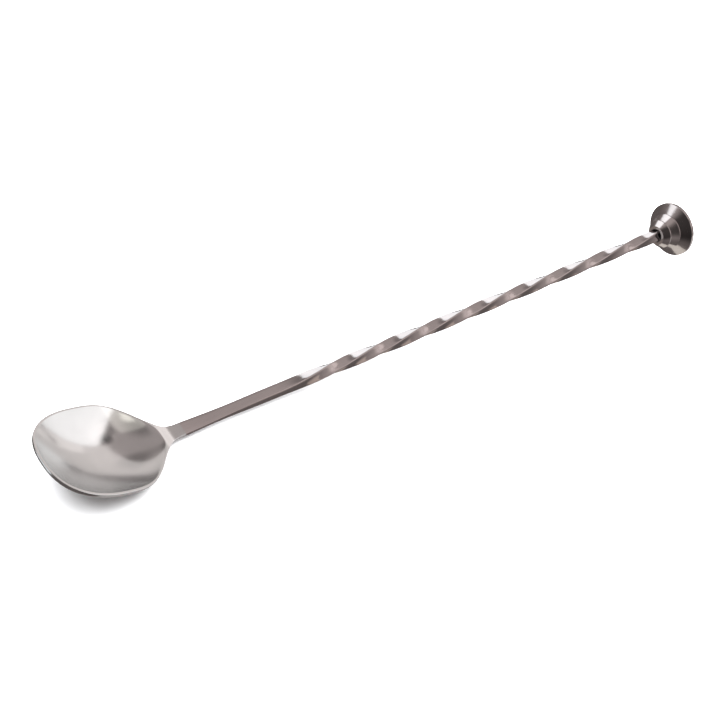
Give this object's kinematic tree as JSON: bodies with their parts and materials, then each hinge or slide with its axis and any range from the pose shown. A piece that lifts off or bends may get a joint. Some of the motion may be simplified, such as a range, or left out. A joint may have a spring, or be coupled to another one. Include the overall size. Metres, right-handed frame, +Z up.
{
  "type": "bar spoon",
  "caption": "Long bar spoon with a shallow oval bowl, a flat then twisted square stem, and a stepped round muddler head at the far end.",
  "frame": {"origin": "on the surface the spoon lies on, under the middle of its overall length", "axes": "+X from the bowl to the muddler head, +Y across the bowl, +Z up out of the bowl"},
  "size_m": [0.2818, 0.031, 0.0194],
  "materials": {
    "mirror_steel": "mirror-polished stainless steel with fine wipe marks",
    "drawn_steel": "polished stainless bar, satin on the flat stem",
    "turned_steel": "turned stainless steel with fine lathe lines"
  },
  "bodies": {
    "spoon": {"spoon_bowl": "mirror_steel", "twisted_shaft": "drawn_steel"},
    "head": {"muddler_head": "turned_steel"}
  },
  "joints": [
    {"name": "head_unscrew", "type": "slide", "parent": "spoon", "child": "head", "axis": [0.9996, 0, 0.0291], "range_m": [0, 0.005]}
  ]
}
